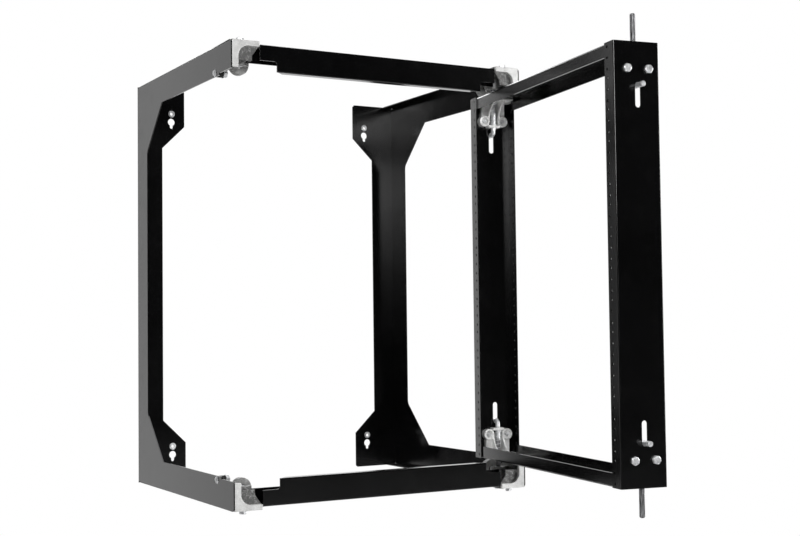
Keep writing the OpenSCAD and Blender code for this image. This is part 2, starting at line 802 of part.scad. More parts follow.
// Upright of the gate: a channel open to the room, with rail holes in both flanges
module upright(side) {
    color(black_coat) swung() at_gate_corner(side, 1) difference() {
        translate([0, -gate_d, -gate_h]) cube([rail_w, gate_d, gate_h]);
        translate([gate_t, gate_t - gate_d, -gate_h - overrun])
            cube([rail_w, gate_d - 2 * gate_t, gate_h + 2 * overrun]);
        for (front = [0, 1])
            translate([0, -front * gate_d, -gate_h])
                mirror([0, front, 0])
                    upright_bend_cut();
        for (unit = [0:units - 1])
            translate([hole_inset, -gate_d - overrun, unit * unit_h - gate_h])
                for (z = [rail_hole_edge, unit_h / 2, unit_h - rail_hole_edge])
                    translate([0, 0, z]) bar_y(rail_hole_d, gate_d + 2 * overrun);
        for (level = [0, 1])
            translate([-overrun, -pin_from_rear, -level * gate_h]) mirror([0, 0, level])
                upright_corner_cuts();
    }
}

// What the rounded outside of an upright's bend takes off a square edge
module upright_bend_cut() {
    difference() {
        translate([-overrun, -gate_t, -overrun])
            cube([gate_t + overrun, gate_t + overrun, gate_h + 2 * overrun]);
        translate([gate_t, -gate_t, -2 * overrun]) cylinder(r = gate_t, h = gate_h + 4 * overrun);
    }
}

// Slot for a pin's handle and the two bolt holes at one end of an upright
module upright_corner_cuts() {
    slot_w = pin_d + 2 * slot_clear;
    for (z = [-handle_drop, -handle_drop - pin_travel])
        translate([0, 0, z]) bar_x(slot_w, gate_t + 2 * overrun);
    translate([0, -slot_w / 2, -handle_drop - pin_travel])
        cube([gate_t + 2 * overrun, slot_w, pin_travel]);
    for (out = [-lobe_out, lobe_out])
        translate([0, out, -lobe_drop]) bar_x(hex_d + 2 * seat_clear, gate_t + 2 * overrun);
}

// Crossbar of the gate: a channel with its flanges turned to the gate's middle
module gate_crossbar(level) {
    start = gate_plate_w + gate_t + seat_clear;
    bar_l = gate_w - 2 * start;
    deep = gate_d - 2 * gate_t - 2 * seat_clear;
    end_z = level > 0 ? frame_top - gate_gap : frame_top - gate_gap - gate_h;
    color(black_coat) swung() translate([-bar_l / 2, gate_rear - gate_t - seat_clear, end_z])
        mirror([0, 0, level < 0 ? 1 : 0]) difference() {
            translate([0, -deep, -gate_bar_h]) cube([bar_l, deep, gate_bar_h]);
            translate([-overrun, gate_t - deep, -gate_bar_h - overrun])
                cube([bar_l + 2 * overrun, deep - 2 * gate_t, gate_bar_h - gate_t + overrun]);
            for (side = [0, 1], out = [-lobe_out, lobe_out])
                translate([side * bar_l + (1 - 2 * side) * tongue_l / 2, 0, -gate_bar_h])
                    translate([0, out - pin_from_rear + gate_t + seat_clear, 0])
                        cylinder(d = screw_d + 2 * seat_clear, h = gate_bar_h + overrun);
        }
}

// Corner bracket inside the gate: end plate, guide plate, bolt bosses and curved ribs
module gate_bracket(side, level) {
    wide = gate_d - 2 * gate_t - 2 * seat_clear;
    start = gate_t + seat_clear;
    color(cast_grey) swung() at_gate_corner(side, level) translate([0, -pin_from_rear, 0]) difference() {
        union() {
            // End plate, level with the gate's end
            translate([start, pin_from_rear - gate_t - seat_clear - wide, -gate_plate_t])
                cube([gate_plate_w - seat_clear, wide, gate_plate_t]);
            // Tongue under the crossbar
            translate([start, -lobe_out - screw_head_d, -gate_t - seat_clear - tongue_t])
                cube([gate_plate_w + tongue_l, 2 * lobe_out + 2 * screw_head_d, tongue_t]);
            // Back wall on the upright's web
            translate([start, -lobe_out, -lobe_drop])
                cube([gate_back_t, 2 * lobe_out, lobe_drop - overrun]);
            for (out = [-lobe_out, lobe_out]) {
                translate([start, out, -lobe_drop]) bar_x(2 * lobe_r, lobe_h);
                translate([start, out - post_w / 2, -lobe_drop])
                    cube([post_h, post_w, lobe_drop - overrun]);
            }
            // Guide plate between the bosses
            translate([start, -rib_out - rib_t, -guide_drop - guide_t])
                cube([pin_inset + pin_d / 2 + wire_d - gate_t, 2 * (rib_out + rib_t), guide_t]);
            for (out = [-1, 1])
                translate([start, out > 0 ? rib_out : -rib_out - rib_t, 0]) gate_rib();
        }
        translate([pin_inset, 0, -guide_drop - guide_t - overrun])
            cylinder(r = bore_r, h = guide_drop + guide_t + 2 * overrun);
        // Room for the spring between the plates
        translate([pin_inset, 0, -guide_drop]) cylinder(r = rib_out, h = guide_drop - gate_plate_t);
        // Window behind the pin, so that the spring runs free of the bosses
        translate([start + gate_back_t, -rib_out, -guide_drop])
            cube([gate_plate_w, 2 * rib_out, guide_drop - gate_plate_t]);
        for (out = [-lobe_out, lobe_out]) {
            translate([0, out, -lobe_drop]) bar_x(hex_d, lobe_h + start + overrun);
            translate([start + lobe_h - lobe_recess_h, out, -lobe_drop])
                bar_x(lobe_recess_d, lobe_recess_h + overrun);
            translate([start + gate_plate_w + tongue_l / 2, out, -gate_bar_h])
                cylinder(d = screw_d, h = gate_bar_h);
        }
        // Bosses stop short of the handle's slot and of the flanges
        for (end = [0, 1])
            mirror([0, end, 0])
                translate([0, wide / 2 - seat_clear, -gate_h / 2]) cube([gate_d, gate_d, gate_h / 2]);
    }
}

// Rib beside the pin, with a hollow curved front edge that narrows upward from the boss
module gate_rib() {
    low = guide_drop + guide_t / 2;
    full_w = gate_plate_w + tongue_l - screw_head_h;
    rotate([90, 0, 0]) translate([0, 0, -rib_t]) linear_extrude(rib_t) difference() {
        translate([0, -low]) square([full_w, low - gate_t - seat_clear - tongue_t / 2]);
        translate([rib_low_w + rib_curve_r, -low]) circle(rib_curve_r, $fn = 96);
    }
}

// Hexagon bolts through the uprights' webs into the brackets' bosses
module gate_hex_bolts() {
    color(zinc) swung() for (side = [-1, 1], level = [-1, 1], out = [-lobe_out, lobe_out])
        at_gate_corner(side, level) translate([0, out - pin_from_rear, -lobe_drop]) {
            translate([-hex_h, 0, 0]) hex_x(hex_af, hex_h);
            bar_x(hex_d, gate_t + lobe_h);
        }
}

// Screws that hold the gate's crossbars on the brackets' tongues
module gate_screws() {
    place = gate_plate_w + gate_t + seat_clear + tongue_l / 2;
    color(zinc) swung() for (side = [-1, 1], level = [-1, 1], out = [-lobe_out, lobe_out])
        at_gate_corner(side, level) translate([place, out - pin_from_rear, 0])
            pan_screw(gate_t + tongue_t);
}

// Pin bent from round bar: straight shank, tight bend and handle through the slot
module gate_pin(side, level) {
    tip_h = pin_d / 5;
    shank_l = pin_out + handle_drop - handle_r - tip_h;
    color(zinc) swung() at_gate_corner(side, level) translate([0, -pin_from_rear, 0]) {
        translate([pin_inset, 0, handle_r - handle_drop]) cylinder(d = pin_d, h = shank_l);
        translate([pin_inset, 0, pin_out - tip_h])
            cylinder(d1 = pin_d, d2 = pin_d - 2 * tip_h, h = tip_h);
        translate([pin_inset - handle_r, 0, handle_r - handle_drop])
            rotate([90, 0, 0]) rotate([0, 0, -90]) rotate_extrude(angle = 90)
                translate([handle_r, 0]) circle(d = pin_d);
        translate([-handle_out, 0, -handle_drop]) bar_x(pin_d, handle_out + pin_inset - handle_r);
    }
}

// Collar pressed on a pin, on which its spring bears
module pin_collar(side, level) {
    color(zinc) swung() at_gate_corner(side, level)
        translate([pin_inset, -pin_from_rear, -spring_top]) difference() {
            cylinder(d = collar_d, h = collar_t);
            translate([0, 0, -overrun]) cylinder(d = pin_d, h = collar_t + 2 * overrun);
        }
}

// Points round a spring's wire at one step of its helix
function wire_ring(turn, rise) = [
    for (k = [0:wire_fn - 1])
        let (a = 360 * k / wire_fn, r = spring_r + wire_d / 2 * cos(a))
            [r * cos(turn), r * sin(turn), rise + wire_d / 2 * sin(a)]
];

// Coil spring between collar and guide plate, standing on its lower end
module coil_spring(length) {
    steps = spring_turns * turn_fn;
    travel = length - wire_d;
    points = [
        for (i = [0:steps])
            each wire_ring(360 * i / turn_fn, wire_d / 2 + travel * i / steps)
    ];
    sides = [
        for (i = [0:steps - 1], k = [0:wire_fn - 1])
            let (n = (k + 1) % wire_fn, low = i * wire_fn, high = low + wire_fn)
                [low + k, high + k, high + n, low + n]
    ];
    start_cap = [[for (k = [0:wire_fn - 1]) k]];
    end_cap = [[for (k = [wire_fn - 1:-1:0]) steps * wire_fn + k]];
    polyhedron(points, concat(sides, start_cap, end_cap));
}

// Spring that pushes a pin outward
module pin_spring(side, level) {
    play = seat_clear;
    color(zinc) swung() at_gate_corner(side, level)
        translate([pin_inset, -pin_from_rear, -guide_drop + play])
            coil_spring(spring_l - 2 * play);
}

module left_side_panel() { color(black_coat) side_panel(-1); }
module right_side_panel() { color(black_coat) side_panel(1); }
module top_crossbar() { color(black_coat) frame_crossbar(1); }
module bottom_crossbar() { color(black_coat) frame_crossbar(-1); }
module top_left_casting() { color(cast_grey) corner_casting(-1, 1); }
module top_right_casting() { color(cast_grey) corner_casting(1, 1); }
module bottom_left_casting() { color(cast_grey) corner_casting(-1, -1); }
module bottom_right_casting() { color(cast_grey) corner_casting(1, -1); }

left_side_panel();
right_side_panel();
top_crossbar();
bottom_crossbar();
top_left_casting();
top_right_casting();
bottom_left_casting();
bottom_right_casting();
pin_bushes();
wall_bushes();
stop_bolts();
stop_sleeves();
stop_washers();
stop_nuts();
frame_screws();
upright(1);  // hinge_upright
upright(-1);  // latch_upright
gate_crossbar(1);  // gate_top_crossbar
gate_crossbar(-1);  // gate_bottom_crossbar
gate_bracket(1, 1);  // top_hinge_bracket
gate_bracket(-1, 1);  // top_latch_bracket
gate_bracket(1, -1);  // bottom_hinge_bracket
gate_bracket(-1, -1);  // bottom_latch_bracket
gate_hex_bolts();
gate_screws();
gate_pin(1, 1);  // top_hinge_pin
gate_pin(-1, 1);  // top_latch_pin
gate_pin(1, -1);  // bottom_hinge_pin
gate_pin(-1, -1);  // bottom_latch_pin
pin_collar(1, 1);  // top_hinge_collar
pin_collar(-1, 1);  // top_latch_collar
pin_collar(1, -1);  // bottom_hinge_collar
pin_collar(-1, -1);  // bottom_latch_collar
pin_spring(1, 1);  // top_hinge_spring
pin_spring(-1, 1);  // top_latch_spring
pin_spring(1, -1);  // bottom_hinge_spring
pin_spring(-1, -1);  // bottom_latch_spring
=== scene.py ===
import json
import math

import bmesh
import bpy
from mathutils import Matrix, Vector


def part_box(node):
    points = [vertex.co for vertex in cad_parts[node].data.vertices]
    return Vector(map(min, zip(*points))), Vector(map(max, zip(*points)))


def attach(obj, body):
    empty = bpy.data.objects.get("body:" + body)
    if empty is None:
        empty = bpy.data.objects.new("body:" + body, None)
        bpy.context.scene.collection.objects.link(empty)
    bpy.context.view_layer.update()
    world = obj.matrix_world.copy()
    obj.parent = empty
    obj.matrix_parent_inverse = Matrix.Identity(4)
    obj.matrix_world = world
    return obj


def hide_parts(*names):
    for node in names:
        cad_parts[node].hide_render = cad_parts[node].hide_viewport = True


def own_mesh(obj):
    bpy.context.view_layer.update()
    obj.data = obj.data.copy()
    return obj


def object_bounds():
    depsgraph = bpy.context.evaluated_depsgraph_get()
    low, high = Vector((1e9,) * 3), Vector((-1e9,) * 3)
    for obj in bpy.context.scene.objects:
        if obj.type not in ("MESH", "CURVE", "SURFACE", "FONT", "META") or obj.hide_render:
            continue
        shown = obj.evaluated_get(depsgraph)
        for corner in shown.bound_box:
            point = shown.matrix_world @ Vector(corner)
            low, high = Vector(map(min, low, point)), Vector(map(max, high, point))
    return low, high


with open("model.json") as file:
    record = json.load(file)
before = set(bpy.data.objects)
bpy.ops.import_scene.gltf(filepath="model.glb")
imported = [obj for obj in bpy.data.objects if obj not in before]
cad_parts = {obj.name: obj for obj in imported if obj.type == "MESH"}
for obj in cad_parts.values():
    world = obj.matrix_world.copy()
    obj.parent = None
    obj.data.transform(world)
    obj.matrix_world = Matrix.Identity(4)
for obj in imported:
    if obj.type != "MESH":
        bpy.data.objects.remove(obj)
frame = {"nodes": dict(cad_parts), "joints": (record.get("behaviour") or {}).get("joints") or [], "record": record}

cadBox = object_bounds()
cadNodes = frame["nodes"]
joints = {joint["name"]: joint for joint in frame["joints"]}
cornerNames = ["top_hinge", "top_latch", "bottom_hinge", "bottom_latch"]

photoCamera = {
    "place": (-1.0155, -2.2995, -0.0920),  # metres, from a least-squares fit to the photo
    "yaw": 29.478,  # degrees to the right of the wall's normal
    "pitch": 2.571,
    "roll": -0.680,
    "lens": 58.216,  # millimetres on a 36 mm wide sensor
    "sensor": 36.0,
    "clip": (0.05, 60),
}

studio = {
    "floorDrop": 0.45,  # metres below the lowest piece
    "wallBehind": 2.6,
    "wallHeight": 4.6,
    "reach": 7.0,
    "cornerRadius": 1.2,
    "cornerSteps": 20,
    "paper": (0.88, 0.88, 0.88, 1),
    "paperGlow": 1.0,  # what the camera sees of the paper
    "mirrorGlow": (0.92, 1.30),  # what glossy surfaces see of the backdrop, at its left and in its middle
    "mirrorFrom": (-0.95, -0.72),  # where that glow changes, metres
    "air": 0.02,
    # dark panel behind the gate, seen by glossy surfaces alone: left, right, height and place in y
    "flag": (-0.385, -0.085, 1.5, 0.5),
    "lamps": {
        # name: (place, aim, width and height, watts)
        "keyLamp": ((-1.1, -3.1, 0.75), (0.1, -0.45, 0.0), (0.8, 0.8), 44.0),
        "rightLamp": ((1.95, -1.6, 0.2), (0.25, -0.45, 0.0), (0.5, 1.2), 34.0),
        "topLamp": ((0.1, -0.4, 2.6), (0.0, -0.4, 0.0), (1.6, 1.6), 24.0),
        "lowLamp": ((-1.2, -2.0, -1.3), (0.1, -0.45, -0.2), (1.0, 0.5), 10.0),
        "rearLamp": ((0.5, 2.2, 1.3), (0.0, -0.3, 0.0), (1.4, 1.0), 22.0),
    },
}


def addObject(name, data):
    obj = bpy.data.objects.new(name, data)
    bpy.context.scene.collection.objects.link(obj)
    return obj


# One value on its way through a node tree, with the usual signs for maths.
class Flow:
    def __init__(self, graph, socket):
        self.graph = graph
        self.socket = socket

    def math(self, operation, *others):
        return self.graph.add("ShaderNodeMath", {"operation": operation}, dict(enumerate((self,) + others)))

    def turned(self, operation, other):
        return self.graph.add("ShaderNodeMath", {"operation": operation}, {0: other, 1: self})

    def __add__(self, other):
        return self.math("ADD", other)

    def __sub__(self, other):
        return self.math("SUBTRACT", other)

    def __rsub__(self, other):
        return self.turned("SUBTRACT", other)

    def __mul__(self, other):
        return self.math("MULTIPLY", other)

    def __truediv__(self, other):
        return self.math("DIVIDE", other)

    def __rtruediv__(self, other):
        return self.turned("DIVIDE", other)

    def __neg__(self):
        return self.math("MULTIPLY", -1.0)

    __radd__ = __add__
    __rmul__ = __mul__

    def least(self, other):
        return self.math("MINIMUM", other)

    def most(self, other):
        return self.math("MAXIMUM", other)

    def held(self):
        return self.graph.add("ShaderNodeClamp", {}, {"Value": self})

    def between(self, low, high):
        return self.graph.add("ShaderNodeMapRange", {"clamp": True},
                              {"Value": self, "From Min": low, "From Max": high})


# A node tree that is filled through one method.
class Graph:
    def __init__(self, tree):
        self.nodes = tree.nodes
        self.links = tree.links

    def put(self, node, sockets):
        for key, value in sockets.items():
            socket = node.inputs[key]
            values = value if isinstance(value, list) else [value]
            for single in values:
                if isinstance(single, Flow):
                    self.links.new(single.socket, socket)
                else:
                    socket.default_value = single

    def add(self, kind, settings, sockets, out=0):
        node = self.nodes.new(kind)
        for key, value in settings.items():
            setattr(node, key, value)
        self.put(node, sockets)
        return Flow(self, node.outputs[out])

    def ray(self, kind):
        return self.add("ShaderNodeLightPath", {}, {}, kind)


class Finish(Graph):
    def __init__(self, name, seed=0.0):
        self.material = bpy.data.materials.new(name)
        self.material.use_nodes = True
        super().__init__(self.material.node_tree)
        self.shader = self.nodes["Principled BSDF"]
        self.output = self.nodes["Material Output"]
        place = self.add("ShaderNodeTexCoord", {}, {}, "Object")
        self.place = self.add("ShaderNodeVectorMath", {"operation": "ADD"},
                              {0: place, 1: (seed, 0.7 * seed, -seed)}, "Vector")

    def noise(self, perMetre, detail=3.0, rough=0.55, place=None):
        return self.add("ShaderNodeTexNoise", {"noise_dimensions": "3D"},
                        {"Vector": place or self.place, "Scale": perMetre, "Detail": detail,
                         "Roughness": rough})

    def cells(self, perMetre):
        return self.add("ShaderNodeTexVoronoi", {"feature": "F1"},
                        {"Vector": self.place, "Scale": perMetre}, "Distance")

    def axis(self, name):
        place = self.add("ShaderNodeTexCoord", {}, {}, "Object")
        return self.add("ShaderNodeSeparateXYZ", {}, {0: place}, name)

    def stretched(self, scale):
        return self.add("ShaderNodeMapping", {"vector_type": "POINT"},
                        {"Vector": self.place, "Scale": scale}, "Vector")

    def colours(self, factor, first, second):
        return self.add("ShaderNodeMix", {"data_type": "RGBA", "clamp_factor": True},
                        {0: factor, 6: first, 7: second}, 2)

    def bump(self, height, depth, strength=1.0):
        return self.add("ShaderNodeBump", {},
                        {"Strength": strength, "Distance": depth, "Height": height}, "Normal")

    def surface(self, sockets):
        self.put(self.shader, sockets)
        return self.material


coatLook = {
    "dark": (0.0008, 0.0008, 0.0009, 1),
    "light": (0.0018, 0.0018, 0.0020, 1),
    "dust": (0.030, 0.029, 0.028, 1),
    "dustAmount": 0.035,
    "cloudPerMetre": 9,
    "orangePeelPerMetre": 420,
    "grainPerMetre": 1700,
    "grainDepth": 0.00003,
    "patchPerMetre": 26,
    "roughness": 0.19,
    "roughSpread": 0.05,
}


def makeCoat(name, seed):
    look = coatLook
    f = Finish(name, seed)
    cloud = f.noise(look["cloudPerMetre"], 4.0, 0.6)
    peel = f.noise(look["orangePeelPerMetre"], 2.0, 0.5)
    grain = f.noise(look["grainPerMetre"], 2.0, 0.6)
    patch = f.noise(look["patchPerMetre"], 5.0, 0.7).between(0.52, 0.78)
    colour = f.colours(cloud.between(0.35, 0.65), look["dark"], look["light"])
    dusty = f.colours(patch * look["dustAmount"] * grain.between(0.4, 0.7), colour, look["dust"])
    return f.surface({
        "Base Color": dusty,
        "Roughness": look["roughness"] + (cloud - 0.5) * look["roughSpread"] + patch * 0.06,
        "Metallic": 0.0,
        "IOR": 1.5,
        "Normal": f.bump(peel * 0.7 + grain * 0.3, look["grainDepth"], 0.55),
    })


castLook = {
    "dark": (0.58, 0.58, 0.57, 1),
    "light": (0.84, 0.84, 0.83, 1),
    "gateLitDark": (0.66, 0.66, 0.65, 1),  # painted light: brighter copy of the cast colours for the gate's brackets, making up for the shade of the gate's crossbars and flanges
    "gateLitLight": (0.95, 0.95, 0.94, 1),
    "rough": (0.030, 0.030, 0.029, 1),  # painted shade: near-black colour of the pockets, standing in for the shadow behind the front plates
    "pit": (0.24, 0.24, 0.235, 1),
    "pocketShadeFrom": (0.0030, 0.0052),  # metres behind the front plates, where the painted pocket shade fades in
    "pocketShadeTo": (0.0130, 0.0300),
    "pocketShadeEnd": 0.62,  # share of the painted pocket shade that stays further back
    "cloudPerMetre": 75,
    "sandPerMetre": 900,
    # noise that varies the strength of the painted pocket shade and the pockets' bumps
    "shadeGritPerMetre": 260,
    "pitsPerMetre": 380,
    "pitPatchesPerMetre": 170,
    "depth": 0.00035,
    "roughness": 0.44,
    "metallic": 0.22,
}


def makeCastMetal(name, seed, shadedPockets):
    look = castLook
    f = Finish(name, seed)
    cloud = f.noise(look["cloudPerMetre"], 5.0, 0.65)
    sand = f.noise(look["sandPerMetre"], 3.0, 0.65)
    pits = f.cells(look["pitsPerMetre"]).between(0.04, 0.24)
    pitMask = (1 - pits) * f.noise(look["pitPatchesPerMetre"], 2.0).between(0.48, 0.62)
    # the gate's brackets take the painted-light copy of the cast colours, the frame castings the plain ones
    dark, light = (look["dark"], look["light"]) if shadedPockets else (look["gateLitDark"], look["gateLitLight"])
    colour = f.colours((cloud * 0.65 + sand * 0.35).between(0.36, 0.62), dark, light)
    rough = 0.0
    if shadedPockets:
        # painted shade: the castings darken into their pockets with depth behind the front plates, in a strength
        # varied by noise; the same mask also roughens and bumps them
        near, far = look["pocketShadeFrom"]
        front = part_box("left_side_panel")[0][1]
        pocketShadeIn = f.axis("Y").between(front + near, front + far)
        last = f.axis("Y").between(*[front + edge for edge in look["pocketShadeTo"]]) * (1 - look["pocketShadeEnd"])
        shadeGrit = (f.noise(look["shadeGritPerMetre"], 5.0, 0.75).between(0.24, 0.50) * 0.65 + 0.35).held()
        rough = pocketShadeIn * (1 - last) * shadeGrit
        colour = f.colours(rough, colour, look["rough"])
    return f.surface({
        "Base Color": f.colours(pitMask * 0.8, colour, look["pit"]),
        "Roughness": look["roughness"] + (sand - 0.5) * 0.25 + rough * 0.12,
        "Metallic": look["metallic"],
        "Normal": f.bump(sand * 0.5 + cloud * 0.6 - pitMask + rough * sand * 1.6, look["depth"], 0.9),
    })


zincLook = {
    "dark": (0.50, 0.51, 0.52, 1),
    "light": (0.93, 0.94, 0.95, 1),
    "metallic": 0.55,
    "roughness": 0.36,
    "spanglePerMetre": 210,
    "finePerMetre": 2400,
    "drawnPerMetre": 900,
    "depth": 0.00002,
    # the pins' sliding length is drawn steel, dark along its draw lines
    "slideDark": (0.035, 0.035, 0.036, 1),
    "slideLight": (0.30, 0.30, 0.31, 1),
    "slideFrom": (0.286, 0.292),  # metres above and below the middle
}


def makeZinc(name, pins):
    look = zincLook
    f = Finish(name)
    spangle = f.noise(look["spanglePerMetre"], 3.0, 0.6)
    fine = f.noise(look["finePerMetre"], 1.0)
    drawn = f.noise(look["drawnPerMetre"], 2.0, 0.5, f.stretched((1, 1, 0.08)))
    colour = f.colours((spangle * 0.7 + drawn * 0.3).between(0.36, 0.60), look["dark"], look["light"])
    if pins:
        bare = f.colours(drawn.between(0.36, 0.62), look["slideDark"], look["slideLight"])
        height = f.axis("Z")
        colour = f.colours(height.most(-height).between(*look["slideFrom"]), colour, bare)
    return f.surface({
        "Base Color": colour,
        "Roughness": look["roughness"] + spangle.between(0.35, 0.7) * 0.14,
        "Metallic": look["metallic"],
        "Normal": f.bump(fine * 0.5 + drawn * 0.5, look["depth"], 0.5),
    })


rubberLook = {
    "dark": (0.006, 0.006, 0.006, 1),
    "light": (0.016, 0.016, 0.015, 1),
    "cloudPerMetre": 90,
    "finePerMetre": 1500,
    "depth": 0.00006,
    "roughness": 0.62,
}


def makeRubber():
    look = rubberLook
    f = Finish("sleeveRubber")
    fine = f.noise(look["finePerMetre"], 3.0, 0.6)
    return f.surface({
        "Base Color": f.colours(f.noise(look["cloudPerMetre"], 3.0), look["dark"], look["light"]),
        "Roughness": look["roughness"] + fine * 0.2,
        "Normal": f.bump(fine, look["depth"], 0.5),
    })


tappedLook = {
    "dark": (0.008, 0.008, 0.0085, 1),
    "light": (0.045, 0.045, 0.047, 1),
    "ringPerMetre": 1300,
    "roughness": 0.42,
    "metallic": 0.3,
}


def makeTapped():
    look = tappedLook
    f = Finish("tappedThread")
    ring = f.noise(look["ringPerMetre"], 2.0)
    return f.surface({
        "Base Color": f.colours(ring.between(0.3, 0.7), look["dark"], look["light"]),
        "Roughness": look["roughness"] + ring * 0.2,
        "Metallic": look["metallic"],
    })


print("finishes")
frameCoat = makeCoat("frameCoat", 0.0)
gateCoat = makeCoat("gateCoat", 3.1)
# frameCast carries painted shade in the castings' pockets
frameCast = makeCastMetal("frameCast", 0.0, True)
# gateCast is the painted-light, brighter copy of the cast metal
gateCast = makeCastMetal("gateCast", 1.7, False)
zincPlate = makeZinc("zincPlate", False)
pinSteel = makeZinc("pinSteel", True)
sleeveRubber = makeRubber()
tappedThread = makeTapped()


edgeLook = {
    "bend": 0.0036,  # outside radius of the sheets' bends, metres
    "bendSegments": 5,
    "sheetThickness": 0.0045,  # faces narrower than this are cut edges
    "sheet": 0.00035,  # deburred and coated sheet edges, metres
    "turned": 0.0003,
    "sleeve": 0.0007,
    "castVoxel": 0.0007,
    "castSmoothing": 5,
    "smoothFactor": 0.5,
    "segments": 2,
    "angle": 28.0,
    "shadeAngle": 40,
    "flatWeight": 90,  # how far wide faces stay flat beside their rounded edges
    "weld": 0.000002,
    "flatAngle": 0.4,  # degrees between faces that are one flat face
    "bendLength": 0.08,  # shortest bend of a sheet, metres
    "bendSpread": 0.05,  # radians by which a bend may miss a right angle
}


def copyOfNode(nodeName, newName):
    mesh = cadNodes[nodeName].data.copy()
    mesh.materials.clear()
    work = bmesh.new()
    work.from_mesh(mesh)
    bmesh.ops.remove_doubles(work, verts=work.verts, dist=edgeLook["weld"])
    bmesh.ops.dissolve_limit(work, angle_limit=math.radians(edgeLook["flatAngle"]),
                             use_dissolve_boundaries=False, verts=work.verts, edges=work.edges)
    work.to_mesh(mesh)
    work.free()
    mesh.name = newName
    return addObject(newName, mesh)


def bake(obj):
    bpy.context.view_layer.update()
    evaluated = obj.evaluated_get(bpy.context.evaluated_depsgraph_get())
    mesh = bpy.data.meshes.new_from_object(evaluated)
    obj.modifiers.clear()
    old = obj.data
    obj.data = mesh
    mesh.name = obj.name
    if old.users == 0:
        bpy.data.meshes.remove(old)
    return obj


def shadeByAngle(obj, material):
    work = bmesh.new()
    work.from_mesh(obj.data)
    limit = math.radians(edgeLook["shadeAngle"])
    for face in work.faces:
        face.smooth = True
    for edge in work.edges:
        edge.smooth = len(edge.link_faces) == 2 and edge.calc_face_angle(0.0) < limit
    work.to_mesh(obj.data)
    work.free()
    weigh = obj.modifiers.new("weigh", "WEIGHTED_NORMAL")
    weigh.mode = "FACE_AREA"
    weigh.weight = edgeLook["flatWeight"]
    weigh.keep_sharp = True
    bake(obj)
    obj.data.materials.clear()
    obj.data.materials.append(material)
    return obj


# Marks the sharp outside edges between two wide faces of a sheet
def markBends(obj):
    work = bmesh.new()
    work.from_mesh(obj.data)
    weight = work.edges.layers.float.new("bevel_weight_edge")
    found = 0
    for edge in work.edges:
        if len(edge.link_faces) != 2 or not edge.is_convex or edge.calc_length() < edgeLook["bendLength"]:
            continue
        if abs(edge.calc_face_angle(0.0) - math.pi / 2) > edgeLook["bendSpread"]:
            continue
        along = (edge.verts[1].co - edge.verts[0].co).normalized()
        widths = []
        for face in edge.link_faces:
            across = along.cross(face.normal)
            reach = [across.dot(vert.co) for vert in face.verts]
            widths.append(max(reach) - min(reach))
        if min(widths) > edgeLook["sheetThickness"]:
            edge[weight] = 1.0
            found += 1
    work.to_mesh(obj.data)
    work.free()
    return found


def bendEdges(obj):
    print("bends", obj.name, markBends(obj))
    bend = obj.modifiers.new("bend", "BEVEL")
    bend.width = edgeLook["bend"]
    bend.segments = edgeLook["bendSegments"]
    bend.limit_method = "WEIGHT"
    bend.use_clamp_overlap = False
    return bake(obj)


def softEdges(obj, width, material):
    bevel = obj.modifiers.new("bevel", "BEVEL")
    bevel.width = width
    bevel.segments = edgeLook["segments"]
    bevel.limit_method = "ANGLE"
    bevel.angle_limit = math.radians(edgeLook["angle"])
    bevel.use_clamp_overlap = True
    return shadeByAngle(bake(obj), material)


def castEdges(obj, material):
    remesh = obj.modifiers.new("remesh", "REMESH")
    remesh.mode = "VOXEL"
    remesh.voxel_size = edgeLook["castVoxel"]
    smooth = obj.modifiers.new("smooth", "SMOOTH")
    smooth.factor = edgeLook["smoothFactor"]
    smooth.iterations = edgeLook["castSmoothing"]
    bake(obj)
    for face in obj.data.polygons:
        face.use_smooth = True
    obj.data.materials.clear()
    obj.data.materials.append(material)
    return obj


def stand(obj, nodeNames, body):
    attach(obj, body)
    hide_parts(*nodeNames)
    return obj


def coatedSheets(nodeNames, body, coat):
    for nodeName in nodeNames:
        sheet = bendEdges(copyOfNode(nodeName, nodeName + "_coated"))
        stand(softEdges(sheet, edgeLook["sheet"], coat), [nodeName], body)


def castPieces(nodeNames, body, metal):
    for nodeName in nodeNames:
        piece = castEdges(copyOfNode(nodeName, nodeName + "_cast"), metal)
        stand(piece, [nodeName], body)


def turnedPiece(nodeName, body, metal):
    piece = softEdges(copyOfNode(nodeName, nodeName + "_plated"), edgeLook["turned"], metal)
    stand(piece, [nodeName], body)


def turnedPieces():
    for nodeName in ["pin_bushes", "wall_bushes", "stop_washers"]:
        turnedPiece(nodeName, "wall_frame", zincPlate)
    sleeves = softEdges(copyOfNode("stop_sleeves", "stop_sleeves_rubber"), edgeLook["sleeve"], sleeveRubber)
    stand(sleeves, ["stop_sleeves"], "wall_frame")
    for corner in cornerNames:
        turnedPiece(corner + "_pin", corner + "_pin", pinSteel)
        turnedPiece(corner + "_collar", corner + "_pin", zincPlate)


print("sheet metal")
coatedSheets(["left_side_panel", "right_side_panel", "top_crossbar", "bottom_crossbar"],
             "wall_frame", frameCoat)
coatedSheets(["hinge_upright", "latch_upright", "gate_top_crossbar", "gate_bottom_crossbar"],
             "gate", gateCoat)
print("castings")
castPieces(["top_left_casting", "top_right_casting", "bottom_left_casting", "bottom_right_casting"],
           "wall_frame", frameCast)
castPieces([corner + "_bracket" for corner in cornerNames], "gate", gateCast)
print("turned pieces")
turnedPieces()


